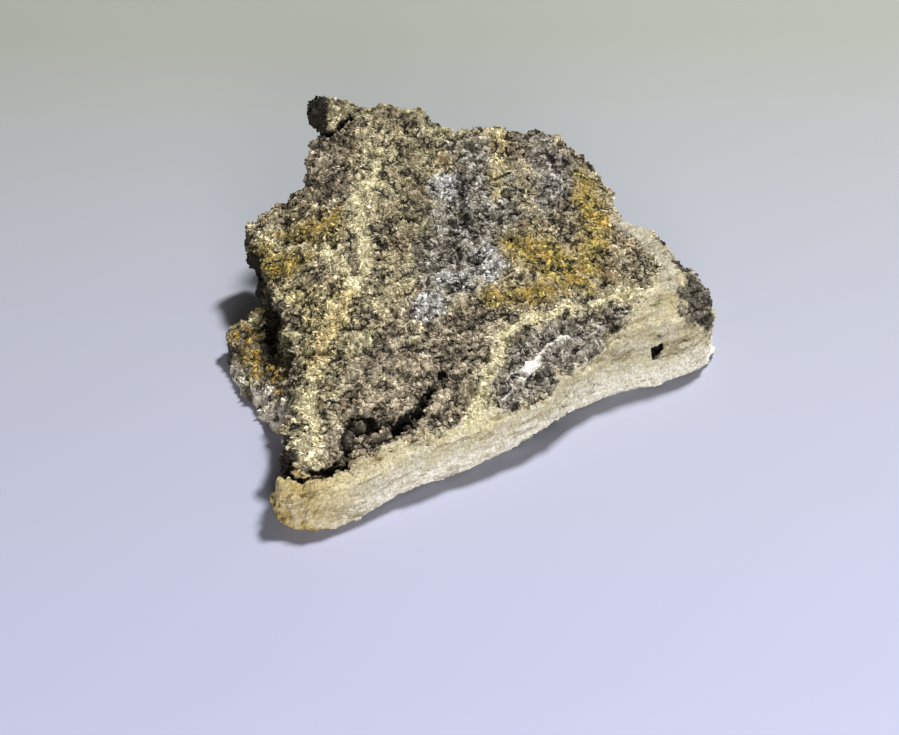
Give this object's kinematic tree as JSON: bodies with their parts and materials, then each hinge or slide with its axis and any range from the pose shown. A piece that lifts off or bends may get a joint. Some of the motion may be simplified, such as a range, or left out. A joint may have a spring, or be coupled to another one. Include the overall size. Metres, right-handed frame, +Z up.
{
  "type": "petrified wood",
  "caption": "Broken wedge-shaped piece of petrified wood with a crystal-crusted face and a pale rind, resting on a flat split underside.",
  "frame": {"origin": "middle of the bounding box seen from above, on the plane of the flat underside", "axes": "+Z up from the underside, +X to the right along the front and towards the low right end, +Y away from the rind wall towards the high back edge"},
  "size_m": [0.0728, 0.0768, 0.0257],
  "materials": {
    "petrified_wood": "rough broken face crusted with fine grey-brown and blue-grey quartz crystals, ochre iron stains and cream veins, behind a matt cream rind"
  },
  "bodies": {
    "root": {"petrified_wood": "petrified_wood"}
  },
  "joints": []
}
